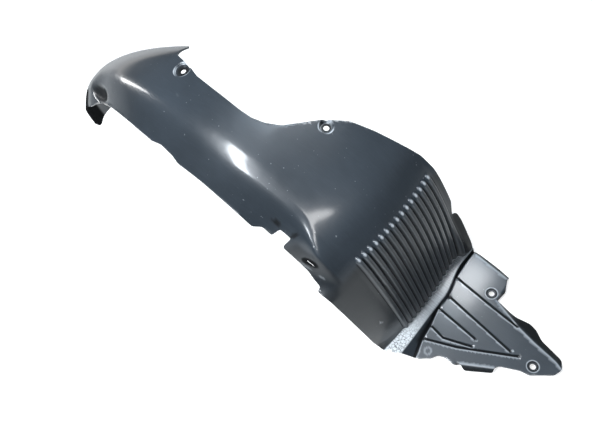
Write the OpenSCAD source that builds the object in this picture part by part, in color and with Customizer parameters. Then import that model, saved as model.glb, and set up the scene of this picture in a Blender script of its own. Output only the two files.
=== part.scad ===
// Front wheel arch liner, moulded in one piece of polypropylene sheet.
// X points to the front of the car, Y inboard and Z up. The space for the tyre is under the arch.
// The shape is drawn with the wheel axis along Y through zero and the lip edge near Y = 0, and then
// moved so that zero is midway between the two fixing holes of the splash panel.

/* [Sheet] */
// wall thickness
wall = 2.5; // [2.2:0.1:3]
// radius of the lip edge, that follows the opening of the fender
lip_radius = 370; // [350:5:390]
// height of the crown above the lip edge, over the tyre
crown_rise = 38; // [32:1:42]
// rise from the lip edge to the crown at the top of the ribs
hip_rise = 55; // [48:1:60]
// distance from the lip edge to the ridge between side wall and crown
ridge_width = 44; // [38:1:48]
// distance from the lip edge to the ridge beside the ribs, where the side wall is narrow and steep
front_ridge = 12; // [10:1:16]
// softness of the ridge
ridge_softness = 5.5; // [4:0.5:7]

/* [Edges] */
// width of the liner beside the strut
strut_width = 100; // [94:1:108]
// width of the rear wall
rear_width = 145; // [138:1:150]
// width at the top of the ribs
front_width = 217; // [213:1:224]
// angle of the end of the rear wall, from the top
rear_end = -67.5; // [-69:0.5:-66]
// how far the rear wall reaches outboard of the lip edge
rear_ear = 14; // [10:1:16]
// depth of the notch in the lip edge
notch_depth = 16; // [12:1:20]

/* [Ribs] */
// number of ribs on the front wall
rib_count = 15; // [13:1:15]
// distance from rib to rib
rib_pitch = 10.6; // [9.8:0.1:10.8]
// height of a rib
rib_height = 3.6; // [2.5:0.1:4]
// distance from the lip edge to the first rib
rib_start = 47.4; // [46:0.2:48]

/* [Foot and splash panel] */
// height of the ledge above the wheel axis
ledge_level = 74; // [70:1:80]
// distance from the foot to the outer edge of the ledge
ledge_width = 26; // [24:1:27]
// distance of the foot of the front wall in front of the wheel axis
foot_reach = 372; // [366:1:378]
// height of the top of the splash panel above the wheel axis
panel_level = 62.5; // [60:0.5:64]
// distance of the tip of the splash panel in front of the wheel axis
panel_reach = 589; // [580:1:600]
// how far the foot of the front wall swings forward at its inner ear
ear_flare = 15; // [10:1:16]
// width of a groove in the splash panel
groove_width = 3.4; // [2.6:0.2:4.2]
// depth of the gutter and of the grooves under the splash panel
groove_depth = 2.3; // [2:0.1:2.4]
// radius of the two fixing holes in the splash panel
panel_hole = 4.2; // [3.5:0.1:5]

/* [Fixing seats] */
// radius of the sunk seat at the strut tower
seat_radius = 12; // [10:0.5:13]
// depth of the sunk seat at the strut tower
seat_depth = 5; // [4:0.5:6]
// radius of the fixing holes in the seats
seat_hole = 4.2; // [3.5:0.1:5]
// radius of the second, smaller seat
small_seat = 9; // [8:0.5:10]

/* [Hidden] */
tip_angle = 50;
tip_radius = lip_radius + hip_rise;
tip = [tip_radius * sin(tip_angle), tip_radius * cos(tip_angle)];
foot = [foot_reach, ledge_level];
wall_bow = 8;
side_columns = 7;
sub_columns = 4;
edge_columns = 2;
columns = side_columns + rib_count + edge_columns;
rib_end = rib_start + rib_count * rib_pitch;
crown_bulge = 8;
notch_from = 35.9;
notch_to = 38.8;
slot_size = [13, 8];
slot_angle = 45;
slot_width_place = 11;
cup_wall = 2;
// depth of the lip edge under the front wall, beside the ribs
front_drop = 6;
// how far a cutter reaches past the sheet on either side
cut_past = 6;
slot_cut = 60;
// the least that the panel reaches below the floor of the gutter
lap = 0.2;
shade = [0.2, 0.22, 0.24];

function mix(a, b, t) = a + (b - a) * t;
function smooth(t) = let (c = max(0, min(1, t))) c * c * (3 - 2 * c);
function ramp(x, from, to) = smooth((x - from) / (to - from));
function soft_min(a, b, k) = -k * ln(exp(-a / k) + exp(-b / k));
function unit(v) = v / norm(v);

// value at x of a line through stations of [x, value]
function along(s, x, i = 0) =
    x <= s[0][0] ? s[0][1]
    : i >= len(s) - 1 ? s[len(s) - 1][1]
    : x <= s[i + 1][0] ? mix(s[i][1], s[i + 1][1], (x - s[i][0]) / (s[i + 1][0] - s[i][0]))
    : along(s, x, i + 1);

// the same with a smooth curve
function slope_at(s, i) =
    i == 0 || i == len(s) - 1 ? 0 : (s[i + 1][1] - s[i - 1][1]) / (s[i + 1][0] - s[i - 1][0]);
function bend(s, i, x) =
    let (d = s[i + 1][0] - s[i][0], t = (x - s[i][0]) / d)
    (2 * t * t * t - 3 * t * t + 1) * s[i][1]
    + (t * t * t - 2 * t * t + t) * d * slope_at(s, i)
    + (3 * t * t - 2 * t * t * t) * s[i + 1][1]
    + (t * t * t - t * t) * d * slope_at(s, i + 1);
function curve(s, x, i = 0) =
    x <= s[0][0] ? s[0][1]
    : i >= len(s) - 1 ? s[len(s) - 1][1]
    : x <= s[i + 1][0] ? bend(s, i, x)
    : curve(s, x, i + 1);

// A station u is an angle from the top as far as the rib tips at 50, and from there to 100
// it runs down the front wall.

// height of the crown above the lip circle
crown_line = [[-68, crown_rise - 3], [-52, crown_rise + 0.5], [-38, crown_rise + 1.5],
    [-20, crown_rise + 1.5], [-8, crown_rise + 1], [10, crown_rise],
    [20, mix(crown_rise, hip_rise, 0.06)], [30, mix(crown_rise, hip_rise, 0.34)],
    [38, mix(crown_rise, hip_rise, 0.76)], [44, hip_rise + 1.5], [50, hip_rise]];
// side wall line, which swings outboard at the ear of the rear wall
side_line = [[-68, -2.4 * rear_ear], [-50, -2.3 * rear_ear], [-42, -1.8 * rear_ear],
    [-37, -1.2 * rear_ear], [-29, 1], [-21, 4], [-4, 0], [38, 0], [44, 2], [47, 0.6], [49, -3.4],
    [50, -6], [51, -9], [75, -8], [92, -5], [100, -2]];
// distance of the ridge from the side wall line
ridge_line = [[-68, ridge_width], [20, ridge_width], [29, ridge_width + 1], [35, mix(ridge_width, front_ridge, 0.06)],
    [38, mix(ridge_width, front_ridge, 0.2)], [41, mix(ridge_width, front_ridge, 0.6)],
    [44, mix(ridge_width, front_ridge, 0.95)], [50, front_ridge], [100, front_ridge]];
// trimmed lip edge, with its two steps
lip_line = [[-67.5, -0.25 * rear_ear], [-66.3, -0.7 * rear_ear], [-63, -rear_ear],
    [-56, -0.93 * rear_ear], [-44, -0.8 * rear_ear], [-37, -0.55 * rear_ear], [-33, 0], [-29, 6],
    [-21, 6.5], [-4, 0.8], [1, -0.5], [4, 2.6], [8, 0.4], [10, -3], [17, -2], [31.5, -3.5],
    [33.2, 4.5], [38.8, 4], [39.4, 2.4], [45, 2.7], [47, 0.6], [49, -3.6], [50, -5.3], [51, -12.6],
    [61, -10.8], [75, -8.3], [92, -4.8], [100, -1]];
// inner edge: rear wall, strut cut-out, shoulder and front wall with its ear
inner_line = [[-68, 0.69 * rear_width], [-52, 0.72 * rear_width], [-38, 0.93 * rear_width],
    [-30, rear_width], [-6.6, 0.985 * rear_width], [-5.8, 1.17 * strut_width],
    [0, 1.1 * strut_width], [3, 1.04 * strut_width], [7.5, 1.02 * strut_width],
    [15, strut_width], [18, 1.01 * strut_width], [20.6, 1.065 * strut_width],
    [23.3, mix(strut_width, front_width, 0.15)], [26, mix(strut_width, front_width, 0.34)],
    [28.2, mix(strut_width, front_width, 0.5)], [29.6, mix(strut_width, front_width, 0.57)],
    [32.1, mix(strut_width, front_width, 0.69)], [36.6, mix(strut_width, front_width, 0.79)],
    [42, mix(strut_width, front_width, 0.89)], [46, mix(strut_width, front_width, 0.97)],
    [50, front_width], [68, front_width], [74.2, front_width - 8], [75.4, front_width + 1],
    [80, front_width + 3], [90, front_width + 2], [100, front_width + 3]];

// crown profile in the XZ plane
function on_wall(t) =
    let (out = unit([tip[1] - foot[1], foot[0] - tip[0]]), top = (tip + foot) / 2 + 2 * wall_bow * out)
    (1 - t) * (1 - t) * tip + 2 * t * (1 - t) * top + t * t * foot;
function wall_way(t) =
    let (out = unit([tip[1] - foot[1], foot[0] - tip[0]]), top = (tip + foot) / 2 + 2 * wall_bow * out)
    unit(2 * (1 - t) * (top - tip) + 2 * t * (foot - top));
function profile(u) =
    u <= tip_angle ? (lip_radius + curve(crown_line, u)) * [sin(u), cos(u)] : on_wall(u / 50 - 1);
function outward(u) =
    u <= tip_angle ? let (w = ramp(u, 42, 50), d = wall_way(0))
        unit(mix([sin(u), cos(u)], [-d[1], d[0]], w))
    : let (d = wall_way(u / 50 - 1)) [-d[1], d[0]];

// depth of the lip circle under the crown profile
function lip_drop(u) = mix(curve(crown_line, u), front_drop, ramp(u, 45, 51));
// fall of the crown behind the crease of the rear wall
function rear_fall(u, y) =
    let (late = max(0, 0.237 * (y - 55) - 19 - u), in = max(0, y - 50) / 95)
    49 * pow(in, 1.6) * (1 - exp(-pow(late / 18, 1.6)));
function bulge(u, y) =
    crown_bulge * ramp(u, 25, 45) * (1 - ramp(u, 55, 90)) * max(0, 1 - pow((y - 125) / 85, 2));
// forward swing of the foot: a bow across its width and the flare of its inner ear
function foot_bow(y) = 6 * max(-0.4, 1 - pow((y - 75) / 95, 2));
function flare(u, y) = foot_bow(y) * ramp(u, 60, 100) + ear_flare * ramp(u, 70, 100) * ramp(y, 186, 211);
// outer edge of the ledge, set back beside the ear
function ledge_edge(y) = foot_reach + mix(ledge_width, ear_flare - 1, ramp(y, 125, 190));
// oval pocket in the side wall, close to the ear
function pocket(u, y) = 7 * max(0, 1 - pow((u + 30) / 6, 2) - pow((y - 17) / 11, 2));
function rise(u, y) =
    let (drop = lip_drop(u))
    soft_min(drop / curve(ridge_line, u) * (y - curve(side_line, u)) - drop, bulge(u, y) - rear_fall(u, y),
        ridge_softness)
    + flare(u, y) - pocket(u, y);
function skin(u, y) =
    let (p = profile(u) + rise(u, y) * outward(u))
    [p[0], y, p[1]];
function skin_normal(u, y) =
    let (a = skin(max(rear_end, u - 0.6), y), b = skin(min(100, u + 0.6), y),
        c = skin(u, y - 0.6), d = skin(u, y + 0.6))
    unit(cross(b - a, d - c));

// height of the ribs, that fade in at their tips: four steps make a rib
function rib_shape(u, k) = (k == 1 || k == 2 ? 1 : 0) * rib_height * sqrt(max(0, min(1, (u - 49) / 3.4)));

// columns across a row
function rear_column(j, low, high) =
    let (ridge = ridge_width + 6)
    j <= side_columns ? mix(low, ridge, j / side_columns)
    : mix(ridge, high, (j - side_columns) / (rib_count + edge_columns));
function front_column(j, low, high) =
    j <= side_columns ? mix(low, rib_start, pow(j / side_columns, 1.5))
    : j <= side_columns + rib_count ? rib_start + (j - side_columns) * rib_pitch
    : mix(rib_end, high, (j - side_columns - rib_count) / edge_columns);
function column(u, j) =
    let (low = u > notch_from && u < notch_to ? notch_depth : along(lip_line, u),
        high = along(inner_line, u))
    mix(rear_column(j, low, high), front_column(j, low, high), ramp(u, 36, 49));

// rows of the arch: plain ones to the rib tips, ribbed ones on the front wall
plain_rows = [for (a = [rear_end : 2.5 : -8]) a, -6.6, -5.8, for (a = [-4 : 2.6 : 30]) a, 31.5, 33.2,
    notch_from - 0.2, notch_from + 0.2, notch_to - 0.2, notch_to + 0.2, 40.4, 42, 43.6, 45.4, 47.6];
rib_rows = [49, 50, 51, 52.6, 54.6, 60, 65, 69.5, 74.2, 75.4, 80, 86, 92, 97];
ridge_ends = [for (j = [0 : columns - 1]) each
    j < side_columns || j >= side_columns + rib_count ? [[j, 0]] : [for (k = [0 : sub_columns - 1]) [j, k]],
    [columns, 0]];
plain_ends = [for (j = [0 : columns]) [j, 0]];

function row_points(u, ends, depth) =
    [for (e = ends)
        let (y = mix(column(u, e[0]), column(u, min(columns, e[0] + 1)), e[1] / sub_columns),
            n = skin_normal(u, y))
        skin(u, y) + n * (rib_shape(u, e[1]) - depth)];
function foot_row(back, z) =
    [for (e = plain_ends) let (y = column(100, e[0])) [foot_reach + flare(100, y) - back, y, z]];

// the riser falls from the ledge to the gutter, as a slope near the lip edge and steeply further inboard
floor_top = panel_level - groove_depth;
riser_foot = floor_top - 1;
riser_drop = ledge_level - riser_foot;
riser_slope_run = 16.5;
riser_steep_run = 1.5;
ledge_low = 12;
riser_low = 20;
function riser_run(y) = mix(riser_slope_run, riser_steep_run, ramp(y, 10, 115));
function on_riser(y, z, depth) =
    ledge_edge(y)
    + (riser_run(y) * (ledge_level - z) - depth * norm([riser_run(y), riser_drop])) / riser_drop;
function ledge_row(z, low, depth) =
    [for (e = plain_ends) let (y = front_column(e[0], low, front_width + 3)) [on_riser(y, z, depth), y, z]];
outer_rows = concat(
    [for (u = plain_rows) row_points(u, plain_ends, 0)],
    [for (u = rib_rows) row_points(u, ridge_ends, 0)],
    [foot_row(0, ledge_level), ledge_row(ledge_level, ledge_low, 0), ledge_row(riser_foot, riser_low, 0)]);
inner_rows = concat(
    [for (u = plain_rows) row_points(u, plain_ends, wall)],
    [for (u = rib_rows) row_points(u, ridge_ends, wall)],
    [foot_row(0.82 * wall, ledge_level - wall), ledge_row(ledge_level - wall, ledge_low, wall),
        ledge_row(riser_foot, riser_low, wall)]);
row_count = len(outer_rows);
function starts(rows, i = 0, at = 0) =
    i >= len(rows) ? [] : concat([at], starts(rows, i + 1, at + len(rows[i])));
first = starts(outer_rows);
half = first[row_count - 1] + len(outer_rows[row_count - 1]);

// number of steps in column j of a row, and the place of its first point
function steps(i, j) =
    len(outer_rows[i]) == columns + 1 || j < side_columns || j >= side_columns + rib_count ? 1 : sub_columns;
function place(i, j) =
    len(outer_rows[i]) == columns + 1 ? j
    : j < side_columns ? j
    : j <= side_columns + rib_count ? side_columns + (j - side_columns) * sub_columns
    : j + rib_count * (sub_columns - 1);
// triangles between two rows in one column, when either row has more steps than the other
function strip(a, na, b, nb) =
    na == nb ? [for (k = [0 : na - 1]) each [[a + k, a + k + 1, b + k], [a + k + 1, b + k + 1, b + k]]]
    : na < nb ? [for (k = [0 : nb - 1]) [k < nb / 2 ? a : a + 1, b + k + 1, b + k], [a, a + 1, b + nb / 2]]
    : [for (k = [0 : na - 1]) [a + k, a + k + 1, k < na / 2 ? b : b + 1], [a + na / 2, b + 1, b]];
outer_faces = [for (i = [0 : row_count - 2]) for (j = [0 : columns - 1]) each
    strip(first[i] + place(i, j), steps(i, j), first[i + 1] + place(i + 1, j), steps(i + 1, j))];
function turned(faces, by) = [for (f = faces) [f[2] + by, f[1] + by, f[0] + by]];
function last(i) = first[i] + len(outer_rows[i]) - 1;
rim_faces = [for (i = [0 : row_count - 2]) each [
    [first[i], first[i + 1], first[i] + half], [first[i + 1], first[i + 1] + half, first[i] + half],
    [last(i), last(i) + half, last(i + 1)], [last(i + 1), last(i) + half, last(i + 1) + half]]];
function end_faces(i) = [for (k = [first[i] : last(i) - 1]) each
    [[k, k + half, k + 1], [k + 1, k + half, k + 1 + half]]];
all_points = concat([for (r = outer_rows) each r], [for (r = inner_rows) each r]);
all_faces = concat(outer_faces, turned(outer_faces, half), rim_faces, end_faces(0),
    turned(end_faces(row_count - 1), 0));

// outline of the splash panel, from the front of the gutter round by the tip. It is drawn for a foot
// at 372 and a tip at 589, and px stretches it to the foot and the tip that are set
drawn_foot = 372;
drawn_tip = 589;
function px(x) =
    foot_reach + (x - drawn_foot) * (panel_reach - foot_reach) / (drawn_tip - drawn_foot);
panel_outline = [[386.5, 218.5], [455, 210], [459, 201], [464, 191], [462, 171], [511, 154], [532, 149],
    [576, 142], [589, 137], [585, 124], [571, 113], [559, 103], [546, 101], [520, 88], [516, 81],
    [475, 56], [469, 49], [452, 50], [442, 46], [436, 35], [423, 24], [415, 22], [409, 52], [406, 76],
    [400, 108], [397.3, 134], [390, 165], [386.5, 195]];
floor_outline = concat(
    [for (y = [219, 185, 165, 145, 125, 105, 85, 65, 45, riser_low]) [on_riser(y, riser_foot, wall / 2), y]],
    [[px(420), 26], [px(415), 60], [px(413), 85], [px(405), 112], [px(403), 140],
        [px(397), 170], [px(395), 219]]);
grooves = [
    [[399, 165.6], [461, 158.3], [490, 155.6]],
    [[402, 133.2], [519, 116.5]],
    [[404, 107.5], [469, 101]],
    [[409, 77.1], [432, 73], [473, 88]],
    [[412, 54.8], [457, 74], [528, 114.3]]];
// edges of the panel that turn down
inner_fold = [[462, 171], [487, 162], [511, 154], [524, 151], [538, 148], [576, 142]];
inner_hem = [[464, 171.5], [497, 167.5], [519, 171], [531, 168], [545, 159], [581, 151]];
rear_fold = [[388, 218.5], [455, 210]];
rear_hem = [[389, 224], [456, 215]];
flap_fold = [[475, 56], [516, 81]];
flap_hem = [[484, 52], [518, 75]];
inner_hem_fall = 9;
rear_hem_fall = 7;
flap_hem_fall = 4;
panel_holes = [[px(449), 176], [px(556), 117]];
middle = [(panel_holes[0][0] + panel_holes[1][0]) / 2, (panel_holes[0][1] + panel_holes[1][1]) / 2,
    panel_level];
// the two seats at [station, width] face the same way, square to the line between them
strut_seat = [-1.2, 101];
shoulder_seat = [29.6, 155];
between_seats = skin(shoulder_seat[0], shoulder_seat[1]) - skin(strut_seat[0], strut_seat[1]);
seat_lean = atan2(-between_seats[2], between_seats[0]);

module slab(points, low, high) {
    translate([0, 0, low])
        linear_extrude(height = high - low)
            polygon([for (p = points) [px(p[0]), p[1]]]);
}

// a straight bar of a groove, drawn from a to b
module bar(a, b, width, low, high) {
    way = unit([px(b[0]) - px(a[0]), b[1] - a[1]]);
    side = [-way[1], way[0]] * width / 2;
    from = [px(a[0]), a[1]] - way * width / 2;
    to = [px(b[0]), b[1]] + way * width / 2;
    translate([0, 0, low])
        linear_extrude(height = high - low)
            polygon([from - side, to - side, to + side, from + side]);
}

module groove_bars(width, low, high) {
    for (g = grooves)
        for (i = [0 : len(g) - 2])
            bar(g[i], g[i + 1], width, low + i * 0.02, high);
}

// sloping hem between a fold of the panel and a lower edge
module hem(fold, edge, fall) {
    n = len(fold);
    inset = [for (i = [0 : n - 1]) unit([fold[i][0] - edge[i][0], fold[i][1] - edge[i][1], 0]) * 1.6];
    top = concat([for (i = [0 : n - 1]) [px(fold[i][0]), fold[i][1], panel_level - 0.3] + inset[i]],
        [for (p = edge) [px(p[0]), p[1], panel_level - fall]]);
    points = concat(top, [for (p = top) p - [0, 0, 0.85 * wall]]);
    m = 2 * n;
    upper = [for (i = [0 : n - 2]) each [[i, i + n, i + 1], [i + 1, i + n, i + n + 1]]];
    under = turned(upper, m);
    rims = [for (i = [0 : n - 2]) each [[i, i + 1, i + m], [i + 1, i + 1 + m, i + m],
        [i + n, i + n + m, i + n + 1], [i + n + 1, i + n + m, i + n + 1 + m]]];
    ends = [[0, m, n], [n, m, n + m], [n - 1, 2 * n - 1, n - 1 + m], [2 * n - 1, 2 * n - 1 + m, n - 1 + m]];
    faces = concat(upper, under, rims, ends);
    polyhedron(points, edge[0][1] < fold[0][1] ? turned(faces, 0) : faces);
}

module at_seat(seat) {
    translate(skin(seat[0], seat[1]))
        rotate([0, seat_lean, 0])
            children();
}

// the cup hangs under the sheet, and its rim is cut along the middle of the sheet
module seat_cup(seat, radius) {
    cup_radius = radius + cup_wall;
    out = skin_normal(seat[0], seat[1]);
    difference() {
        at_seat(seat)
            translate([0, 0, -seat_depth - wall])
                cylinder(r = cup_radius, h = seat_depth + wall + cup_radius, $fn = 40);
        translate(skin(seat[0], seat[1]))
            rotate([0, atan2(out[0], out[2]), 0])
                translate([0, 0, 2 * cup_radius - wall / 2])
                    cube(4 * cup_radius, center = true);
    }
}

module seat_cut(seat, radius) {
    at_seat(seat) {
        translate([0, 0, -seat_depth])
            cylinder(r = radius, h = seat_depth + 2 * cut_past, $fn = 40);
        translate([0, 0, -seat_depth - wall - cut_past])
            cylinder(r = seat_hole, h = wall + 2 * cut_past, $fn = 32);
    }
}

module liner() {
    color(shade)
    translate(-middle)
    difference() {
        union() {
            polyhedron(all_points, all_faces);
            slab(panel_outline, min(panel_level - wall, floor_top - lap), panel_level);
            translate([0, 0, floor_top - wall])
                linear_extrude(height = wall)
                    polygon(floor_outline);
            groove_bars(groove_width + 2 * wall, floor_top - wall + 0.11, panel_level - 1);
            hem(inner_fold, inner_hem, inner_hem_fall);
            hem(rear_fold, rear_hem, rear_hem_fall);
            hem(flap_fold, flap_hem, flap_hem_fall);
            seat_cup(strut_seat, seat_radius);
            seat_cup(shoulder_seat, small_seat);
        }
        groove_bars(groove_width, floor_top + 0.13, panel_level + 5);
        for (h = panel_holes)
            translate([h[0], h[1], panel_level - wall - cut_past])
                cylinder(r = panel_hole, h = wall + 2 * cut_past, $fn = 40);
        seat_cut(strut_seat, seat_radius);
        seat_cut(shoulder_seat, small_seat);
        rotate([0, slot_angle, 0])
            translate([0, slot_width_place, lip_radius])
                cube([slot_size[0], slot_size[1], slot_cut], center = true);
    }
}

liner();
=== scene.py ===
import math
import bpy
import numpy as np
from mathutils import Matrix, Vector
from mathutils.geometry import delaunay_2d_cdt


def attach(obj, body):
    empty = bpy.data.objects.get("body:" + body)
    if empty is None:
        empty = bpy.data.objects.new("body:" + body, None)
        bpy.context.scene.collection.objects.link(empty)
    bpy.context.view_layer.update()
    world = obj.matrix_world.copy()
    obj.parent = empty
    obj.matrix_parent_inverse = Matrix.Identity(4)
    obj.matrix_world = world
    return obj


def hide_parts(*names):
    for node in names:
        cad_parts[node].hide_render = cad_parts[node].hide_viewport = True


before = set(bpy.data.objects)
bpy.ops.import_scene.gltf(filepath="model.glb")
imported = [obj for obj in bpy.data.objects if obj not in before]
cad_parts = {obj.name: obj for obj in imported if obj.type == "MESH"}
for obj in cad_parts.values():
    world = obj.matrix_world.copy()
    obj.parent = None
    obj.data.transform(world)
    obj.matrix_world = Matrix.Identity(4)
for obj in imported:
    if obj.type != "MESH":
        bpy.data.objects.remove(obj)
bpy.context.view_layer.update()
bpy.ops.object.select_all(action="DESELECT")
print("frame loaded")

# The liner is one moulded sheet. It is laid out flat first: "along" runs from the rear wall over the
# crown, down the ribbed front wall, over the ledge and out on the splash panel, and "across" runs
# inboard from the lip edge. Then every point is formed. All sizes of the sheet are in millimetres.
liner = {
    "wall": 2.5,
    "lipRadius": 370, "crownRise": 38, "hipRise": 55,
    "ridgeWidth": 44, "frontRidge": 12, "ridgeSoftness": 5.5, "crownBulge": 8, "frontDrop": 6,
    "strutWidth": 100, "rearWidth": 145, "frontWidth": 217,
    "rearEnd": -67.5, "rearEar": 14,
    "notchFrom": 35.9, "notchTo": 38.8, "notchDepth": 16,
    "wallBow": 8, "footBow": 6, "earFlare": 15,
    "ledgeLevel": 74, "ledgeWidth": 26, "footReach": 372, "foldRadius": 1.8, "shoulderRadius": 22,
    "gutterLevel": 60.2, "panelLevel": 62.5, "slopeRun": 15.4, "steepRun": 1.4,
    "middle": (502.5, 146.5, 62.5),
    "rimRadius": 0.7, "rimAngle": 58, "smoothAngle": 50,
}
ribs = {
    "count": 15, "pitch": 10.6, "start": 47.4, "middle": 0.375, "height": 3.6, "top": 2.7, "foot": 4.5,
    "tipAt": 1.0, "tipLength": 2.0, "crowning": 0.09,
}
# behind the strut the crown falls away inboard, from a slanting line
strutFall = {
    "across": 50, "reach": 95, "depth": 49, "softness": 18,
    "slant": 0.237, "slantAcross": 55, "slantStation": -19,
}
hipBulge = {"across": 125, "halfWidth": 85}  # of the front shoulder
pocket = {"station": -30, "halfStations": 6, "across": 17, "halfWidth": 11, "depth": 7}  # by the rear lip
archScale = 7.12  # mm along the crown for a degree
wallScale = 4.1  # mm down the front wall for a unit of station
wallEnd = 50 * wallScale
uvScale = 100  # mm of the flat sheet for a unit of its UV map
ledgeEnd = wallEnd + 21  # the ledge is this wide on average
riserEnd = ledgeEnd + 17
panelShift = liner["footReach"] + liner["ledgeWidth"] + liner["steepRun"] - riserEnd

grooves = {
    "width": 1.7, "depth": 2.3,
    "lines": [
        [(391.5, 166.4), (461, 158.3), (508, 154)],
        [(397.5, 133.8), (519, 116.5)],
        [(399, 108), (469, 101)],
        [(406.2, 77.5), (432, 73), (473, 88)],
        [(409, 53.5), (457, 74), (532, 116.5)]],
}
panelEdges = {
    "back": [(388.5, 222), (388.7, 194.8), (391, 165.5), (397, 134.6), (398.9, 108), (406.2, 76),
        (408.9, 52.4), (415.7, 28.9), (419, 15)],
    "innerFold": [(462, 171), (487, 162), (511, 154), (524, 151), (538, 148), (576, 142), (589, 137)],
    "innerHem": [(464, 171.5), (497, 167.5), (519, 171), (531, 168), (545, 159), (581, 151)],
    "innerFall": 8.2,
    "rearFold": [(388, 218.5), (455, 210)], "rearHem": [(389, 224), (456, 215)], "rearFall": 7,
    "flapFold": [(475, 56), (516, 81)], "flapHem": [(484, 52), (518, 75)], "flapFall": 4,
}
seats = [
    {"station": -1.2, "across": 101, "radius": 12, "depth": 5, "hole": 4.2},
    {"station": 29.6, "across": 155, "radius": 9, "depth": 5, "hole": 4.2}]
panelHoles = [{"at": (449, 176), "hole": 4.2, "dish": 8.5, "depth": 1.3},
    {"at": (556, 117), "hole": 4.2, "dish": 8.0, "depth": 1.3}]
lipSlot = {"station": 45, "across": 7.9, "size": (13, 2.0)}

ear, strutW, frontW, rearW = liner["rearEar"], liner["strutWidth"], liner["frontWidth"], liner["rearWidth"]
crownRise, hipRise = liner["crownRise"], liner["hipRise"]


def mix(a, b, t):
    return a + (b - a) * t


def ramp(x, low, high):
    t = np.clip((x - low) / (high - low), 0, 1)
    return t * t * (3 - 2 * t)


def unit(v):
    return v / np.maximum(np.linalg.norm(v, axis=-1, keepdims=True), 1e-9)


def straight(stations, x):
    s = np.array(stations, float)
    return np.interp(x, s[:, 0], s[:, 1])


def curved(stations, x):  # smooth line through stations of (x, value)
    s = np.array(stations, float)
    at, value = s[:, 0], s[:, 1]
    slope = np.zeros(len(at))
    slope[1:-1] = (value[2:] - value[:-2]) / (at[2:] - at[:-2])
    x = np.clip(x, at[0], at[-1])
    i = np.clip(np.searchsorted(at, x) - 1, 0, len(at) - 2)
    d = at[i + 1] - at[i]
    t = (x - at[i]) / d
    return ((2 * t**3 - 3 * t**2 + 1) * value[i] + (t**3 - 2 * t**2 + t) * d * slope[i]
            + (3 * t**2 - 2 * t**3) * value[i + 1] + (t**3 - t**2) * d * slope[i + 1])


crownLine = [(-68, crownRise - 3), (-52, crownRise + 0.5), (-38, crownRise + 1.5), (-20, crownRise + 1.5),
    (-8, crownRise + 1), (10, crownRise), (20, mix(crownRise, hipRise, 0.06)),
    (30, mix(crownRise, hipRise, 0.34)), (38, mix(crownRise, hipRise, 0.76)), (44, hipRise + 1.5),
    (50, hipRise)]
sideLine = [(-68, -2.4 * ear), (-50, -2.3 * ear), (-42, -1.8 * ear), (-37, -1.2 * ear), (-29, 1), (-21, 4),
    (-4, 0), (38, 0), (44, 2), (47, 0.6), (49, -3.4), (50, -6), (51, -9), (75, -8), (92, -5), (100, -2)]
ridgeSide, ridgeFront = liner["ridgeWidth"], liner["frontRidge"]
ridgeLine = [(-68, ridgeSide), (20, ridgeSide), (29, ridgeSide + 1), (35, mix(ridgeSide, ridgeFront, 0.06)),
    (38, mix(ridgeSide, ridgeFront, 0.2)), (41, mix(ridgeSide, ridgeFront, 0.6)),
    (44, mix(ridgeSide, ridgeFront, 0.95)), (50, ridgeFront), (100, ridgeFront)]
lipLine = [(-67.5, -0.25 * ear), (-66.3, -0.7 * ear), (-63, -ear), (-56, -0.93 * ear), (-44, -0.8 * ear),
    (-37, -0.55 * ear), (-33, 0), (-29, 6), (-21, 6.5), (-4, 0.8), (1, -0.5), (4, 2.6), (8, 0.4), (10, -3),
    (17, -2), (31.5, -3.5), (33.2, 4.5), (38.8, 4), (39.4, 2.4), (45, 2.7), (47, 0.6), (49, -3.6), (50, -5.3),
    (51, -12.6), (61, -10.8), (75, -8.3), (92, -4.8), (100, -1)]
innerLine = [(-68, 0.69 * rearW), (-52, 0.72 * rearW), (-38, 0.93 * rearW), (-30, rearW),
    (-6.6, 0.985 * rearW), (-5.8, 1.17 * strutW), (0, 1.1 * strutW), (3, 1.04 * strutW), (7.5, 1.02 * strutW),
    (15, strutW), (18, 1.01 * strutW), (20.6, 1.065 * strutW), (23.3, mix(strutW, frontW, 0.15)),
    (26, mix(strutW, frontW, 0.34)), (28.2, mix(strutW, frontW, 0.5)),
    (29.6, mix(strutW, frontW, 0.57)), (32.1, mix(strutW, frontW, 0.69)),
    (36.6, mix(strutW, frontW, 0.79)), (42, mix(strutW, frontW, 0.89)), (46, mix(strutW, frontW, 0.97)),
    (50, frontW), (68, frontW), (74.2, frontW - 8), (75.4, frontW + 1), (80, frontW + 3), (90, frontW + 2),
    (100, frontW + 3)]

tipPoint = (liner["lipRadius"] + hipRise) * np.array([math.sin(math.radians(50)), math.cos(math.radians(50))])
footPoint = np.array([liner["footReach"], liner["ledgeLevel"]], float)
wallOut = unit(np.array([tipPoint[1] - footPoint[1], footPoint[0] - tipPoint[0]]))
wallTop = (tipPoint + footPoint) / 2 + 2 * liner["wallBow"] * wallOut


def wallAt(t):
    t = t[:, None]
    return (1 - t)**2 * tipPoint + 2 * t * (1 - t) * wallTop + t * t * footPoint


def wallOutward(t):
    t = t[:, None]
    way = unit(2 * (1 - t) * (wallTop - tipPoint) + 2 * t * (footPoint - wallTop))
    return np.stack([-way[:, 1], way[:, 0]], axis=1)


def stationOf(along):
    return np.where(along < 0, 50 + along / archScale, 50 + along / wallScale)


def alongOf(station):
    station = np.asarray(station, float)
    return np.where(station < 50, (station - 50) * archScale, (station - 50) * wallScale)


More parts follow.
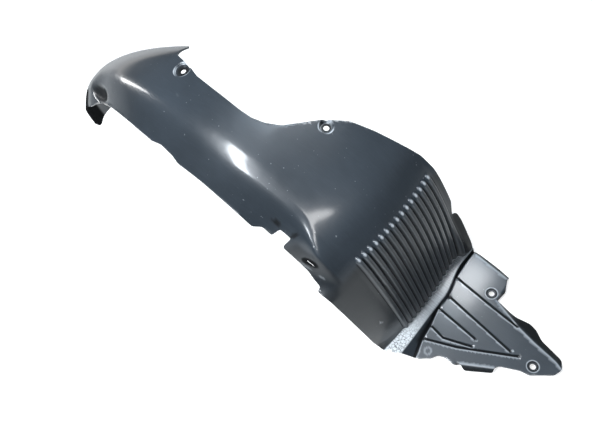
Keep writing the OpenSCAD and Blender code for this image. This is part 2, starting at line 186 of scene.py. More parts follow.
def shell(along, across):  # crown and front wall
    u = np.minimum(stationOf(along), 100)
    angle = np.radians(np.minimum(u, 50))
    spoke = np.stack([np.sin(angle), np.cos(angle)], axis=1)
    arch = (liner["lipRadius"] + curved(crownLine, u))[:, None] * spoke
    t = np.clip(u / 50 - 1, 0, 1)
    onArch = (u <= 50)[:, None]
    path = np.where(onArch, arch, wallAt(t))
    blendOut = unit(mix(spoke, wallOutward(np.zeros(len(u))), ramp(u, 42, 50)[:, None]))
    out = np.where(onArch, blendOut, wallOutward(t))
    drop = mix(curved(crownLine, u), liner["frontDrop"], ramp(u, 45, 51))
    start = strutFall["slant"] * (across - strutFall["slantAcross"]) + strutFall["slantStation"]
    late = np.maximum(0, start - u)
    beside = (np.maximum(0, across - strutFall["across"]) / strutFall["reach"])**1.6
    fall = strutFall["depth"] * beside * (1 - np.exp(-(late / strutFall["softness"])**1.6))
    swell = np.maximum(0, 1 - ((across - hipBulge["across"]) / hipBulge["halfWidth"])**2)
    bulge = liner["crownBulge"] * ramp(u, 25, 45) * (1 - ramp(u, 55, 90)) * swell
    side = drop / curved(ridgeLine, u) * (across - curved(sideLine, u)) - drop
    soft = liner["ridgeSoftness"]
    rise = -soft * np.logaddexp(-side / soft, -(bulge - fall) / soft)
    rise = rise * (1 - ramp(along, wallEnd - 14, wallEnd))
    offU = (u - pocket["station"]) / pocket["halfStations"]
    offAcross = (across - pocket["across"]) / pocket["halfWidth"]
    rise = rise - pocket["depth"] * np.maximum(0, 1 - offU**2 - offAcross**2)
    swing = footSwing(u, across)
    level = ramp(along, wallEnd - 14, wallEnd)[:, None]
    swingWay = unit(mix(out, np.array([1.0, 0.0]), level))
    p = path + rise[:, None] * out + swing[:, None] * swingWay
    return np.stack([p[:, 0], across, p[:, 1]], axis=1)


def footSwing(u, across):  # the foot bows forward, and its inner ear flares
    bow = liner["footBow"] * np.maximum(-0.4, 1 - ((across - 75) / 95)**2)
    return bow * ramp(u, 60, 100) + liner["earFlare"] * ramp(u, 70, 100) * ramp(across, 186, 211)


def ledgeEdge(across):  # the outer edge is set back beside the ear
    return liner["footReach"] + mix(liner["ledgeWidth"], liner["earFlare"] - 1, ramp(across, 125, 190))


def riserRun(across):  # a slope near the lip edge, steep further inboard
    return mix(liner["slopeRun"], liner["steepRun"], ramp(across, 10, 115))


def panelSwing(along, across):  # brings the flat sheet's panel to the foot of the riser
    swing = ledgeEdge(across) + riserRun(across) - liner["footReach"]
    swing = swing - liner["ledgeWidth"] - liner["steepRun"]
    return swing * (1 - ramp(along, riserEnd, riserEnd + 40))


def alongOfX(x, across):  # place on the flat sheet of a point of the panel
    along = x - panelShift
    for _ in range(20):
        along = x - panelShift - panelSwing(along, across)
    return along


def sheetPath(along, across):  # all of the sheet, with sharp folds
    p = shell(along, across)
    foot = liner["footReach"] + footSwing(np.full(len(along), 100.0), across)
    edge = ledgeEdge(across)
    x = mix(foot, edge, (along - wallEnd) / (ledgeEnd - wallEnd))
    ledgePoint = np.stack([x, across, np.full(len(along), float(liner["ledgeLevel"]))], axis=1)
    down = (along - ledgeEnd) / (riserEnd - ledgeEnd)
    level = mix(liner["ledgeLevel"], liner["gutterLevel"], down)
    riser = np.stack([edge + riserRun(across) * down, across, level], axis=1)
    flatX = along + panelShift + panelSwing(along, across)
    flat = np.stack([flatX, across, np.full(len(along), float(liner["gutterLevel"]))], axis=1)
    p = np.where((along > wallEnd)[:, None], ledgePoint, p)
    p = np.where((along > ledgeEnd)[:, None], riser, p)
    return np.where((along > riserEnd)[:, None], flat, p)


def base(along, across):  # folds rounded by a running mean
    p = sheetPath(along, across)
    reach = np.where(along > wallEnd - 6, liner["foldRadius"] * (along < riserEnd + 6),
        liner["shoulderRadius"] * (1 - ramp(np.abs(along), 14, 50)))
    near = reach > 0.01
    if near.any():
        steps = np.linspace(-1, 1, 9)
        p[near] = sum(sheetPath(along[near] + s * reach[near], across[near]) for s in steps) / len(steps)
    return p


def distance(line, points, side=False):  # to a line of points, signed if asked for
    best = np.full(len(points), 1e9)
    sign = np.ones(len(points))
    line = np.array(line, float)
    for a, b in zip(line[:-1], line[1:]):
        d = b - a
        t = np.clip(((points - a) @ d) / (d @ d), 0, 1)
        gap = points - (a + t[:, None] * d)
        far = np.linalg.norm(gap, axis=1)
        closer = far < best
        best = np.where(closer, far, best)
        sign = np.where(closer, np.sign(d[0] * gap[:, 1] - d[1] * gap[:, 0]), sign)
    return best * sign if side else best


def foldFall(points, fold, hem, depth, towards):  # how far a turned-down edge has fallen
    out = distance(fold, points, side=True) * towards
    t = np.maximum(out, 0) / np.maximum(np.maximum(out, 0) + distance(hem, points), 1e-6)
    soft = np.where(t < 0.3, t * t / 0.6, t - 0.15) / 0.85
    return np.minimum(depth * soft, np.maximum(out, 0) * 1.3)


def hemZones(points):  # where each turned-down edge is, its name and the side it falls to
    x, y = points.T
    return [((x > 461) & (y > 125), "inner", 1), ((x < 460) & (y > 205), "rear", 1),
        ((x > 470) & (x < 522) & (y < 90), "flap", -1)]


def panelHeight(points):  # over the gutter's level
    back = distance(panelEdges["back"], points, side=True)
    height = (liner["panelLevel"] - liner["gutterLevel"]) * ramp(back, -0.9, 0.9)
    cut = np.full(len(points), 1e9)
    for line in grooves["lines"]:
        cut = np.minimum(cut, distance(line, points))
    height = height - grooves["depth"] * (1 - ramp(cut, 0.6, grooves["width"] + 0.5)) * (back > 0)
    for h in panelHoles:
        far = np.linalg.norm(points - np.array(h["at"]), axis=1)
        height = height - h["depth"] * (1 - ramp(far, h["dish"] - 1.6, h["dish"]))
    for where, name, towards in hemZones(points):
        fold, hem, depth = (panelEdges[name + part] for part in ("Fold", "Hem", "Fall"))
        height = height - np.where(where, foldFall(points, fold, hem, depth, towards), 0)
    return height


def offRib(across):  # how far each point is from the middle line of the nearest rib
    k = np.round((across - ribs["start"]) / ribs["pitch"] - ribs["middle"])
    k = np.clip(k, 0, ribs["count"] - 1)
    return np.abs(across - ribs["start"] - (k + ribs["middle"]) * ribs["pitch"])


def ribHeight(along, across):
    before = np.maximum(0, ribs["tipAt"] - along) / ribs["tipLength"]
    far = np.hypot(offRib(across), before)
    crown = ribs["crowning"] * np.maximum(0, 1 - (far / ribs["top"])**2)
    crowned = 1 - ramp(far, ribs["top"], ribs["foot"]) + crown
    return ribs["height"] * crowned * (1 - np.clip((along - wallEnd) / 8, 0, 1))


seatLine = [shell(alongOf([s["station"]]), np.array([float(s["across"])]))[0] for s in seats]
seatWay = unit(seatLine[1] - seatLine[0])
seatLean = math.atan2(-seatWay[2], seatWay[0])
seatUp = np.array([math.sin(seatLean), 0, math.cos(seatLean)])
seatFore = np.array([math.cos(seatLean), 0, -math.sin(seatLean)])


def form(along, across):
    p = base(along, across)
    step = 0.5
    run = base(along + step, across) - base(along - step, across)
    wide = base(along, across + step) - base(along, across - step)
    normal = unit(np.cross(run, wide))
    out = unit(normal * np.array([1, 0, 1]))
    forward = ramp(along, wallEnd - 8, wallEnd)[:, None]
    p = p + ribHeight(along, across)[:, None] * unit(mix(out, np.array([1.0, 0, 0]), forward))
    onPanel = along > riserEnd - 3
    p[onPanel, 2] += panelHeight(p[onPanel, :2])
    for seat, centre in zip(seats, seatLine):
        local = p - centre
        far = np.hypot(local @ seatFore, local[:, 1])
        close = far < seat["radius"] + 8
        sunk = 1 - ramp(far, seat["radius"] - 1.1, seat["radius"] + 1.1)
        height = local @ seatUp
        move = np.where(close, (-seat["depth"] - height) * sunk, 0)
        p = p + move[:, None] * seatUp
    return p, p - liner["wall"] * normal


def roundLoop(loop, spacing, passes):  # even steps and soft corners
    loop = np.array(loop + [loop[0]], float)
    lengths = np.r_[0, np.cumsum(np.linalg.norm(np.diff(loop, axis=0), axis=1))]
    count = int(lengths[-1] / spacing)
    s = np.linspace(0, lengths[-1], count, endpoint=False)
    even = np.stack([np.interp(s, lengths, loop[:, 0]), np.interp(s, lengths, loop[:, 1])], axis=1)
    for _ in range(passes):
        even = (np.roll(even, 1, axis=0) + 2 * even + np.roll(even, -1, axis=0)) / 4
    return even


def outline():
    lip = []
    for u in np.arange(liner["rearEnd"], 100.01, 0.25):
        inNotch = liner["notchFrom"] < u < liner["notchTo"]
        lip.append((float(alongOf(u)), liner["notchDepth"] if inNotch else float(straight(lipLine, u))))
    front = [(ledgeEnd, 12), (riserEnd, 20)]
    panel = [(418, 22.5), (423, 24), (436, 35), (442, 46), (452, 50), (469, 49), (475, 56),
        (484, 52), (518, 75), (516, 81), (520, 88), (546, 101), (559, 103), (571, 113), (585, 124),
        (589, 137), (581, 151), (545, 159), (531, 168), (519, 171), (497, 167.5), (464, 171.5), (462, 171),
        (464, 191), (459, 201), (455, 210), (456, 215), (397, 223)]
    panel = [(float(alongOfX(x, y)), y) for x, y in panel]
    back = [(riserEnd, 220), (ledgeEnd, 220)]
    inner = []
    for u in np.arange(100, liner["rearEnd"] - 0.01, -0.5):
        inner.append((float(alongOf(u)), float(straight(innerLine, u))))
    return roundLoop(lip + front + panel + back + inner, 1.4, 4)


def circle(centre, radius, count):
    turn = np.linspace(0, 2 * math.pi, count, endpoint=False)
    return np.stack([centre[0] + radius * np.cos(turn), centre[1] + radius * np.sin(turn)], axis=1)


def inside(loop, points):
    result = np.zeros(len(points), bool)
    x, y = points[:, 0], points[:, 1]
    for (ax, ay), (bx, by) in zip(loop, np.roll(loop, -1, axis=0)):
        crossing = ((ay > y) != (by > y)) & (x < (bx - ax) * (y - ay) / (by - ay + 1e-12) + ax)
        result ^= crossing
    return result


def grid(xs, ys):
    a, b = np.meshgrid(xs, ys, indexing="ij")
    return np.stack([a.ravel(), b.ravel()], axis=1)


sheetSteps = {  # offsets and limits of the flat sheet's points
    "seatRings": (-2.2, -1.5, -1, -0.5, 0, 0.5, 1, 1.5, 2.6, 4.2), "seatInner": (5.3, 6.6), "seatClear": 5.2,
    "dishRings": (-1.6, -1.2, -0.8, -0.4, 0, 0.7, 2), "dishInner": (5.2, 6.2), "dishClear": 2.6,
    "grooveSteps": (-2.9, -2.2, -1.6, -1.1, -0.5, 0.5, 1.1, 1.6, 2.2, 2.9), "lineStep": 1.8,
    "foldSteps": {"back": (-1.6, -0.9, -0.4, 0, 0.4, 0.9, 1.6), "innerFold": (-0.4, 0.5, 1.5),
        "rearFold": (-0.4, 0.5, 1.5), "flapFold": (-1.5, -0.5, 0.4)},
    "steepFrom": -98, "steepEnd": 17, "steepTo": 24.5, "panelFrom": riserEnd + 4.6,
}


def linesBeside(line, steps):  # lines of points beside a line on the panel
    even = np.array(line, float)
    lengths = np.r_[0, np.cumsum(np.linalg.norm(np.diff(even, axis=0), axis=1))]
    s = np.linspace(0, lengths[-1], int(lengths[-1] / sheetSteps["lineStep"]))
    x, y = np.interp(s, lengths, even[:, 0]), np.interp(s, lengths, even[:, 1])
    way = unit(np.stack([np.gradient(x), np.gradient(y)], axis=1))
    made = []
    for off in steps:
        aside = y + way[:, 0] * off
        made.append(np.stack([alongOfX(x - way[:, 1] * off, aside), aside], axis=1))
    return made


def holesAndRings():  # the sheet's openings, and rings of points round them
    holes = []
    rings = []
    for seat in seats:
        centre = np.array([float(alongOf(seat["station"])), seat["across"]])
        holes.append(circle(centre, seat["hole"], 28))
        for r in sheetSteps["seatInner"] + tuple(seat["radius"] + step for step in sheetSteps["seatRings"]):
            rings.append((circle(centre, r, 44), centre, seat["radius"] + sheetSteps["seatClear"]))
    for h in panelHoles:
        centre = np.array([h["at"][0] - panelShift, h["at"][1]])
        holes.append(circle(centre, h["hole"], 28))
        for r in sheetSteps["dishInner"] + tuple(h["dish"] + step for step in sheetSteps["dishRings"]):
            rings.append((circle(centre, r, 36), centre, h["dish"] + sheetSteps["dishClear"]))
    a, b = (v / 2 for v in lipSlot["size"])
    c = np.array([float(alongOf(lipSlot["station"])), lipSlot["across"]])
    corners = [tuple(c + (x, y)) for x, y in ((-a, -b), (a, -b), (a, b), (-a, b))]
    holes.append(roundLoop(corners, 0.6, 1))
    return holes, rings


def loosePoints():  # grids over the sheet, closer where it bends
    start = float(alongOf(liner["rearEnd"]))
    columns = ribs["start"] + np.arange(-64, 140) * (ribs["pitch"] / 8)
    arch = grid(np.arange(start, -38, 5.0), columns[::2])
    rows = np.r_[np.arange(-34, -12, 3.5), np.arange(-11, 8, 1.0), np.arange(10, wallEnd - 8, 3.6)]
    tips = grid(rows, columns)
    folds = [f + step for f in (wallEnd, ledgeEnd, riserEnd) for step in np.linspace(-4.2, 4.2, 13)]
    bends = grid(np.unique(np.round(folds, 2)), columns[::2])
    steep = grid(np.arange(-96, 16, 2.4), np.arange(-14, 24, 0.7))
    flat = grid(np.arange(riserEnd + 6.5, 440, 2.6), columns[::2])
    arch = arch[(arch[:, 0] < sheetSteps["steepFrom"]) | (arch[:, 1] > sheetSteps["steepTo"])]
    tips = tips[(tips[:, 0] > sheetSteps["steepEnd"]) | (tips[:, 1] > sheetSteps["steepTo"])]
    return np.concatenate([arch, tips, bends, flat, steep])


def closed(loop):
    return np.r_[loop, loop[:1]]


def flatPattern():  # points and triangles of the flat sheet
    outer = outline()
    holes, rings = holesAndRings()
    chains = [chain for line in grooves["lines"] for chain in linesBeside(line, sheetSteps["grooveSteps"])]
    for name, steps in sheetSteps["foldSteps"].items():
        chains += linesBeside(panelEdges[name], steps)
    lines = np.concatenate(chains)
    chainOf = np.concatenate([np.full(len(c), i) for i, c in enumerate(chains)])
    tied = lines[:, 0] > sheetSteps["panelFrom"]
    loose = loosePoints()
    for line in grooves["lines"] + [panelEdges[name] for name in sheetSteps["foldSteps"]]:
        near = distance([(float(alongOfX(x, y)), y) for x, y in line], loose) < 3.6
        loose = loose[~(near & (loose[:, 0] > sheetSteps["panelFrom"]))]
    for _, centre, reach in rings:
        loose = loose[np.linalg.norm(loose - centre, axis=1) > reach]
        tied &= np.linalg.norm(lines - centre, axis=1) > reach
    loose = np.concatenate([loose] + [ring for ring, _, _ in rings])
    for h in holes:
        loose = loose[~inside(h, loose)]
        loose = loose[distance(closed(h), loose) > 0.45]
    loose = loose[inside(outer, loose)]
    loose = loose[distance(closed(outer), loose) > 0.8]
    tied &= inside(outer, lines) & (distance(closed(outer), lines) > 0.8)
    for h in holes:
        tied &= distance(closed(h), lines) > 0.45
    points = [outer] + holes + [lines[tied], loose]
    edges = []
    at = 0
    for loop in [outer] + holes:
        n = len(loop)
        edges += [(at + i, at + (i + 1) % n) for i in range(n)]
        at += n
    places = np.where(tied)[0]
    edges += [(at + i, at + i + 1) for i in range(len(places) - 1)
        if places[i + 1] == places[i] + 1 and chainOf[places[i]] == chainOf[places[i + 1]]]
    points = np.concatenate(points)
    found = delaunay_2d_cdt([Vector(p) for p in points.tolist()], edges, [], 0, 1e-5)
    points = np.array([tuple(v) for v in found[0]])
    triangles = np.array(found[2])
    centres = points[triangles].mean(axis=1)
    keep = inside(outer, centres)
    for h in holes:
        keep &= ~inside(h, centres)
    return points, triangles[keep]


def spot(points, station, across, length, width):  # 1 in the middle of an oval, 0 at its edge
    far = np.hypot((points[:, 0] - alongOf(station)) / length, (points[:, 1] - across) / width)
    return 1 - ramp(far, 0.6, 1.0)


def closeTo(gap, full, gone):  # 1 up to full, 0 from gone
    return 1 - ramp(np.abs(gap), full, gone)


shadeSpots = [  # painted shade: station, across, half length, half width and strength
    (-30, 17, 44, 11, 0.8),  # the recess by the rear lip
    (lipSlot["station"] - 0.4, lipSlot["across"] + 0.6, 14, 4.4, 1.1),  # round the slot
    (34.6, 19, 9, 3, 0.9), (38.6, 21, 3.5, 6, 0.7),  # beside the notch
]
highlightSpots = [  # the same, for painted highlights
    (48.3, 4.5, 4, 1.6, 0.8), (45.7, 3.6, 9, 1.3, 0.7), (82, 21, 3.0, 2.0, 1.1),
    (83.4, 24, 1.6, 1.4, 0.8), (2.9, 67, 1.9, 1.7, 0.5),
]
highlightDot, highlightRing = (522, 119), (426, 42)  # painted highlights on the panel, a dot and a ring


def marks(points, top):  # how dark each point is with painted shade, and how bright with painted highlights
    along, across = points.T
    u = stationOf(along)
    xy = top[:, :2]
    back = distance(panelEdges["back"], xy, side=True)
    panel = (along > riserEnd - 3) * (back > 0)
    # painted shade at the foot of the riser, in the grooves, under the turned-down edges and in the dishes
    # round the holes; painted highlights along their edges and rims
    shade = [closeTo(back + 2.0, 1.5, 3.2) * (along > ledgeEnd + 2)]
    paintedHighlight = [0.75 * closeTo(back - 0.9, 0.5, 1.3) * (along > riserEnd)]
    for line in grooves["lines"]:
        side = distance(line, xy, side=True)
        shade.append(panel * closeTo(side, 1.0, 2.1))
        paintedHighlight.append(panel * 0.8 * closeTo(side + 2.4, 0.5, 1.2))
    for where, name, towards in hemZones(xy):
        side = distance(panelEdges[name + "Fold"], xy, side=True) * towards
        shade.append(panel * where * 0.8 * ramp(side, 1.0, 2.2))
        paintedHighlight.append(panel * where * 0.9 * closeTo(side + 0.4, 0.5, 1.3))
    for h in panelHoles:
        far = np.linalg.norm(xy - np.array(h["at"]), axis=1)
        shade.append(0.7 * closeTo(far - h["dish"] + 1.5, 0.6, 1.8))
        paintedHighlight.append(0.9 * closeTo(far - h["dish"] - 0.6, 0.3, 1.0))
    # in the seats, painted shade on the sunk floor and painted highlights on a broken ring at the rim and on
    # a dot
    for seat in seats:
        a, c = along - alongOf(seat["station"]), across - seat["across"]
        far = np.hypot(a, c)
        broken = 0.5 + 0.5 * np.cos(3 * np.arctan2(c, a) + 0.6)
        shade.append(0.85 * closeTo(far, seat["radius"] - 3.4, seat["radius"] - 1.2))
        paintedHighlight.append(1.7 * broken * closeTo(far - seat["radius"] - 0.4, 0.8, 1.7))
        paintedHighlight.append(1.2 * closeTo(np.hypot(a + 3, c - 6.4), 1.0, 2.4))
    # painted shade between the ribs, and painted highlights along their edges and on their tips
    sideways = offRib(across)
    onWall = ramp(along, 0, 4) * (1 - ramp(along, wallEnd - 4, wallEnd + 2))
    shade.append(onWall * 0.8 * ramp(sideways, 3.9, 4.9) * (sideways < 6.2))
    paintedHighlight.append(onWall * 0.22 * closeTo(sideways - 2.4, 0.6, 1.5))
    paintedHighlight.append(1.7 * closeTo(np.hypot(sideways, (along + 2.4) / 1.7), 0.8, 2.3))
    # a painted highlight along the ledge's edge
    paintedHighlight.append(0.8 * closeTo(along - wallEnd - 2.2, 0.6, 1.6) * ramp(across, 90, 130))
    # painted shade on the inside of the rear ear, on the side wall by the slot and on the ear beside the ribs
    shade.append(1.2 * (1 - ramp(u, -41, -38)) * (1 - ramp(across, 11, 17)))
    shade.append(0.42 * ramp(u, 38.8, 41) * (1 - ramp(u, 50, 53)) * (1 - ramp(across, 13, 19)))
    shade.append(0.6 * ramp(u, 71, 76) * ramp(across, 204, 210) * (1 - ramp(along, wallEnd - 2, wallEnd)))
    # the spots of painted shade and of painted highlights listed above
    shade += [level * spot(points, *place) for *place, level in shadeSpots]
    paintedHighlight += [level * spot(points, *place) for *place, level in highlightSpots]
    paintedHighlight.append(panel * 1.2 * closeTo(np.linalg.norm(xy - np.array(highlightDot), axis=1), 1.2, 2.6))
    paintedHighlight.append(panel * 0.5 * closeTo(np.linalg.norm(xy - np.array(highlightRing), axis=1) - 5, 0.8, 2.0))
    return np.stack([np.max(shade, axis=0), np.max(paintedHighlight, axis=0)], axis=1)


def makeSheet():
    points, triangles = flatPattern()
    print("flat pattern:", len(points), "points,", len(triangles), "triangles")
    top, under = form(points[:, 0], points[:, 1])
    vertices = (np.concatenate([top, under]) - np.array(liner["middle"])) / 1000
    n = len(points)
    pairs = np.concatenate([triangles[:, [0, 1]], triangles[:, [1, 2]], triangles[:, [2, 0]]])
    keys = set(map(tuple, pairs.tolist()))
    rim = [(a, b) for a, b in keys if (b, a) not in keys]
    faces = triangles.tolist() + (triangles[:, ::-1] + n).tolist() + [(b, a, a + n, b + n) for a, b in rim]
    mesh = bpy.data.meshes.new("linerSheet")
    mesh.from_pydata(vertices.tolist(), [], faces)
    mesh.update()
    flatMap = mesh.uv_layers.new(name="flat")
    corner = np.empty(len(mesh.loops), np.int32)
    mesh.loops.foreach_get("vertex_index", corner)
    flatMap.data.foreach_set("uv", (points[corner % n] / uvScale).astype(np.float32).ravel())
    markMap = mesh.uv_layers.new(name="marks")
    markMap.data.foreach_set("uv", marks(points, top)[corner % n].astype(np.float32).ravel())
    sheet = bpy.data.objects.new("linerSheet", mesh)
    bpy.context.collection.objects.link(sheet)
    bpy.context.view_layer.objects.active = sheet
    sheet.select_set(True)
    bpy.ops.object.mode_set(mode="EDIT")
    bpy.ops.mesh.select_all(action="SELECT")
    bpy.ops.mesh.normals_make_consistent(inside=False)
    bpy.ops.object.mode_set(mode="OBJECT")
    soft = sheet.modifiers.new("rim", "BEVEL")
    soft.width = liner["rimRadius"] / 1000
    soft.segments = 2
    soft.limit_method = "ANGLE"
    soft.angle_limit = math.radians(liner["rimAngle"])
    soft.use_clamp_overlap = True
    bpy.ops.object.modifier_apply(modifier="rim")
    bpy.ops.object.shade_smooth_by_angle(angle=math.radians(liner["smoothAngle"]))
    sheet.select_set(False)
    print("sheet:", len(sheet.data.polygons), "faces")
    return sheet


sheet = makeSheet()


class Wire:  # one socket, used in sums as a number is
    def __init__(self, paint, socket):
        self.paint, self.socket = paint, socket

    def math(self, kind, *others):
        return self.paint.node("ShaderNodeMath", {"operation": kind}, dict(enumerate((self,) + others)))

    def __add__(self, other):
        return self.math("ADD", other)

    def __sub__(self, other):
        return self.math("SUBTRACT", other)

    def __mul__(self, other):
        return self.math("MULTIPLY", other)

    def __rsub__(self, other):
        return self.paint.node("ShaderNodeMath", {"operation": "SUBTRACT"}, {0: other, 1: self})

    __radd__ = __add__
    __rmul__ = __mul__

    def between(self, low, high):  # 0 at low, 1 at high
        return self.paint.node("ShaderNodeMapRange", {"interpolation_type": "SMOOTHSTEP"},
            {"Value": self, "From Min": low, "From Max": high})


class Paint:  # one node tree, of a material or of the room
    def __init__(self, owner):
        self.owner = owner
        owner.use_nodes = True
        self.tree = owner.node_tree
        self.tree.nodes.clear()

    def node(self, kind, settings=None, sockets=None, out=0):
        made = self.tree.nodes.new(kind)
        for key, value in (settings or {}).items():
            setattr(made, key, value)
        for key, value in (sockets or {}).items():
            if isinstance(value, Wire):
                self.tree.links.new(value.socket, made.inputs[key])
            else:
                made.inputs[key].default_value = value
        return Wire(self, made.outputs[out]) if len(made.outputs) else None

    def parts(self, vector):  # its x, y and z
        split = self.node("ShaderNodeSeparateXYZ", {}, {0: vector}).socket.node
        return [Wire(self, out) for out in split.outputs]

    def noise(self, vector, scale, detail, rough=0.5):
        return self.node("ShaderNodeTexNoise", {},
            {"Vector": vector, "Scale": scale, "Detail": detail, "Roughness": rough})

    def colour(self, share, a, b):
        return self.node("ShaderNodeMix", {"data_type": "RGBA"}, {0: share, 6: a, 7: b}, 2)


plastic = {
    # colours: the plastic's own dark and light tones, painted shade, painted highlights (also the colour of
    # the pale dust specks), dust on the front wall, the painted sheen of the ledge and its crinkle lines
    "dark": (0.019, 0.026, 0.034, 1), "light": (0.028, 0.038, 0.050, 1),
    "shade": (0.008, 0.009, 0.010, 1), "paintedHighlight": (0.50, 0.54, 0.58, 1), "dust": (0.017, 0.017, 0.016, 1),
    "paintedSheen": (0.62, 0.66, 0.69, 1), "crack": (0.04, 0.045, 0.05, 1),
    "roughness": 0.31, "scratch": 0.07, "coat": 0.7, "coatRoughness": 0.12,
}


def plasticPaint():
    paint = Paint(bpy.data.materials.new("blackPolypropylene"))
    place = paint.node("ShaderNodeTexCoord", out=3)
    flatMap = paint.node("ShaderNodeUVMap", {"uv_map": "flat"})
    along, across, _ = paint.parts(flatMap)
    # painted shade and painted highlights, as the marks map holds them
    shade, paintedHighlight, _ = paint.parts(paint.node("ShaderNodeUVMap", {"uv_map": "marks"}))
    cloud = paint.noise(place, 9.0, 4.0, 0.55)
    wobble = paint.noise(place, 26.0, 2.0)
    grain = paint.noise(place, 850.0, 2.0)
    specks = paint.noise(place, 260.0, 1.0)
    long = paint.node("ShaderNodeMapping", {}, {"Vector": flatMap, "Scale": (0.6, 14.0, 1.0)})
    lines = paint.noise(long, 6.0, 5.0, 0.6)
    tone = cloud.between(0.35, 0.7) * 0.6 + lines.between(0.4, 0.75) * 0.4
    colour = paint.colour(tone, plastic["dark"], plastic["light"])
    wallFoot, ledgeLip = wallEnd / uvScale, ledgeEnd / uvScale
    onWall = along.between(0.0, 0.12) * (1 - along.between(wallFoot - 0.05, wallFoot))
    colour = paint.colour(onWall * (0.35 + cloud * 0.5), colour, plastic["dust"])
    # pale dust specks, in the colour of the painted highlights
    colour = paint.colour(specks.between(0.76, 0.80) * 0.3, colour, plastic["paintedHighlight"])
    # the ledge is painted pale as a sheen, most towards its lip end, where it is crinkled and darker crinkle
    # lines break the sheen
    onLedge = along.between(wallFoot - 0.01, wallFoot + 0.02)
    onLedge = onLedge * (1 - along.between(ledgeLip - 0.01, ledgeLip + 0.02))
    nearLip = 1 - across.between(0.25, 1.0)
    cells = paint.node("ShaderNodeTexVoronoi", {"feature": "DISTANCE_TO_EDGE"},
        {"Vector": flatMap, "Scale": 22.0})
    crackle = (1 - cells.between(0.02, 0.14)) * nearLip * onLedge * lines.between(0.35, 0.6)
    sheenAmount = onLedge * (0.16 + nearLip * 0.9 + (lines - 0.5) * 0.6)
    colour = paint.colour(sheenAmount.math("MAXIMUM", 0.0), colour, plastic["paintedSheen"])
    colour = paint.colour(crackle, colour, plastic["crack"])
    # painted highlights
    colour = paint.colour((paintedHighlight * (0.45 + lines * 0.4)).math("MINIMUM", 1.0), colour, plastic["paintedHighlight"])
    # painted shade
    colour = paint.colour((shade * 0.95).math("MINIMUM", 1.0), colour, plastic["shade"])
    rough = plastic["roughness"] + (cloud - 0.5) * 0.1 + (lines - 0.5) * plastic["scratch"] + shade * 0.25
    height = grain * 0.00003 + lines * 0.00006 + wobble * 0.0012 + crackle * -0.0012
    bump = paint.node("ShaderNodeBump", {}, {"Height": height, "Strength": 0.35, "Distance": 1.0})
    coat = (plastic["coat"] * (1 - shade) + (cloud - 0.5) * 0.3) * (1 - onWall * 0.85)
    coat = coat.math("MAXIMUM", 0.0)
    glossy = paint.node("ShaderNodeBsdfPrincipled", {}, {"Base Color": colour, "Roughness": rough,
        "Normal": bump, "Coat Weight": coat, "Coat Roughness": plastic["coatRoughness"]})
    # where the shade is painted, a dark matt surface is mixed in, which takes the reflection away too
    paintedShadeSurface = paint.node("ShaderNodeBsdfDiffuse", {}, {"Color": plastic["shade"]})
    both = paint.node("ShaderNodeMixShader", {}, {0: (shade * 0.8).math("MINIMUM", 0.9), 1: glossy, 2: paintedShadeSurface})
    paint.node("ShaderNodeOutputMaterial", {}, {"Surface": both})
    return paint.owner


sheet.data.materials.append(plasticPaint())
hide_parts("liner")
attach(sheet, "root")
print("plastic done")

# camera, fitted to the photograph
view = {
    "at": (0.07741, -0.22865, 0.86033), "lens": 32.70,
    "right": (0.7117, 0.6477, -0.2718), "up": (-0.5116, 0.7431, 0.4314), "back": (0.4814, -0.1680, 0.8602),
}
cameraData = bpy.data.cameras.new("camera")
cameraData.lens = view["lens"]
cameraData.sensor_width = 36
camera = bpy.data.objects.new("camera", cameraData)
turn = Matrix((view["right"], view["up"], view["back"])).transposed()
camera.matrix_world = Matrix.Translation(view["at"]) @ turn.to_4x4()
bpy.context.collection.objects.link(camera)
bpy.context.scene.camera = camera

# softboxes, each by its place, what it faces, the way of its long side, its size and its power
lamps = [
    {"name": "overhead", "at": (-0.41, -0.69, 1.56), "to": (-0.356, -0.30, 0.319), "along": (0, 1, 0),
        "size": (1.34, 0.22), "power": 34.0, "tint": (0.90, 0.95, 1.0)},
    {"name": "inboard", "at": (-0.335, 0.375, 1.22), "to": (-0.095, 0.03, 0.0), "along": (0, 1, 0),
        "size": (0.17, 0.12), "power": 1.0},
    {"name": "panelSoft", "at": (-0.46, 0.47, 1.3), "to": (-0.095, 0.03, 0.0), "along": (0, 1, 0),
        "size": (0.50, 0.34), "power": 2.6, "tint": (0.75, 0.88, 1.0)},
    {"name": "fender", "at": (0.30, -0.29, 1.29), "to": (-0.237, -0.09, 0.268), "along": (0.23, 0.52, 0),
        "size": (0.56, 0.09), "power": 2.6},
    {"name": "rear", "at": (-1.65, -0.40, 0.66), "to": (-0.57, -0.10, 0.336), "along": (0.14, -0.06, 0.6),
        "size": (0.62, 0.11), "power": 2.6},
]


def addLamp(lamp):
    data = bpy.data.lights.new(lamp["name"], "AREA")
    data.shape = "RECTANGLE"
    data.size, data.size_y = lamp["size"]
    data.energy = lamp["power"]
    data.color = lamp.get("tint", (1, 1, 1))
    made = bpy.data.objects.new(lamp["name"], data)
    back = (Vector(lamp["at"]) - Vector(lamp["to"])).normalized()
    side = Vector(lamp["along"])
    side = (side - side.dot(back) * back).normalized()
    turn = Matrix((side, back.cross(side), back)).transposed()
    made.matrix_world = Matrix.Translation(lamp["at"]) @ turn.to_4x4()
    bpy.context.collection.objects.link(made)


for lamp in lamps:
    addLamp(lamp)

room = {"low": 0.08, "top": 0.30, "rearWall": 1.1, "warm": (1.0, 0.97, 0.93, 1), "cool": (0.80, 0.90, 1.0, 1)}


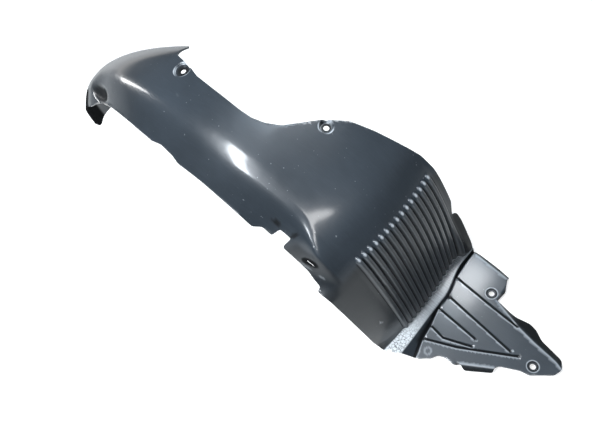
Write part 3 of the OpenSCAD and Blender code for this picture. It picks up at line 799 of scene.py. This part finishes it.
def roomLight():  # cool light from above, dimmer and warmer near the floor, and a pale wall to the rear
    world = bpy.data.worlds.new("room")
    bpy.context.scene.world = world
    paint = Paint(world)
    east, north, up = paint.parts(paint.node("ShaderNodeTexCoord"))
    high = up.between(0.0, 0.8)
    wall = (0 - east).between(0.88, 0.95) * north.between(-0.25, -0.05) * (1 - up.between(0.04, 0.2))
    level = room["low"] + high * room["top"] + wall * room["rearWall"]
    tint = paint.colour(high, room["warm"], room["cool"])
    light = paint.node("ShaderNodeBackground", {}, {"Color": tint, "Strength": level})
    seen = paint.node("ShaderNodeBackground", {}, {"Color": (1, 1, 1, 1), "Strength": 1.0})
    path = paint.node("ShaderNodeLightPath")
    both = paint.node("ShaderNodeMixShader", {}, {0: path, 1: light, 2: seen})
    paint.node("ShaderNodeOutputWorld", {}, {"Surface": both})


roomLight()

floorLook = {
    "level": -0.0125, "side": 60.0, "colour": (0.62, 0.62, 0.61, 1), "cloud": (0.5, 0.5, 0.5, 1),
    "lift": (0.66, 0.66, 0.66, 1), "farLift": (1, 1, 1, 1), "glow": 0.12, "rearGlow": 0.66,
}


def makeFloor():
    bpy.ops.object.select_all(action="DESELECT")
    bpy.ops.mesh.primitive_plane_add(size=floorLook["side"], location=(0, 0, floorLook["level"]))
    floor = bpy.context.active_object
    floor.name = "floor"
    bpy.ops.object.transform_apply(location=True, rotation=False, scale=False)
    paint = Paint(bpy.data.materials.new("paleFloor"))
    place = paint.node("ShaderNodeTexCoord", out=3)
    colour = paint.colour(paint.noise(place, 3.0, 3.0) * 0.06, floorLook["colour"], floorLook["cloud"])
    matt = paint.node("ShaderNodeBsdfPrincipled", {}, {"Base Color": colour, "Roughness": 0.9})
    away = paint.node("ShaderNodeVectorMath", {"operation": "LENGTH"}, {0: place}, 1)
    lift = paint.colour(away.between(0.9, 3.5), floorLook["lift"], floorLook["farLift"])
    glow = paint.node("ShaderNodeEmission", {}, {"Color": lift})
    both = paint.node("ShaderNodeAddShader", {}, {0: matt, 1: glow})
    east, north, _ = paint.parts(place)
    behind = (0 - east).between(1.4, 2.0) * north.between(-0.4, -0.05)
    toCamera = paint.node("ShaderNodeLightPath")
    toGloss = paint.node("ShaderNodeLightPath", out=3)
    shown = toCamera.math("MAXIMUM", toGloss * (floorLook["glow"] + behind * floorLook["rearGlow"]))
    seen = paint.node("ShaderNodeMixShader", {}, {0: shown, 1: matt, 2: both})
    paint.node("ShaderNodeOutputMaterial", {}, {"Surface": seen})
    floor.data.materials.append(paint.owner)
    floor.select_set(False)


makeFloor()
print("floor, lamps and room done")
bpy.context.scene.view_settings.view_transform = "Standard"
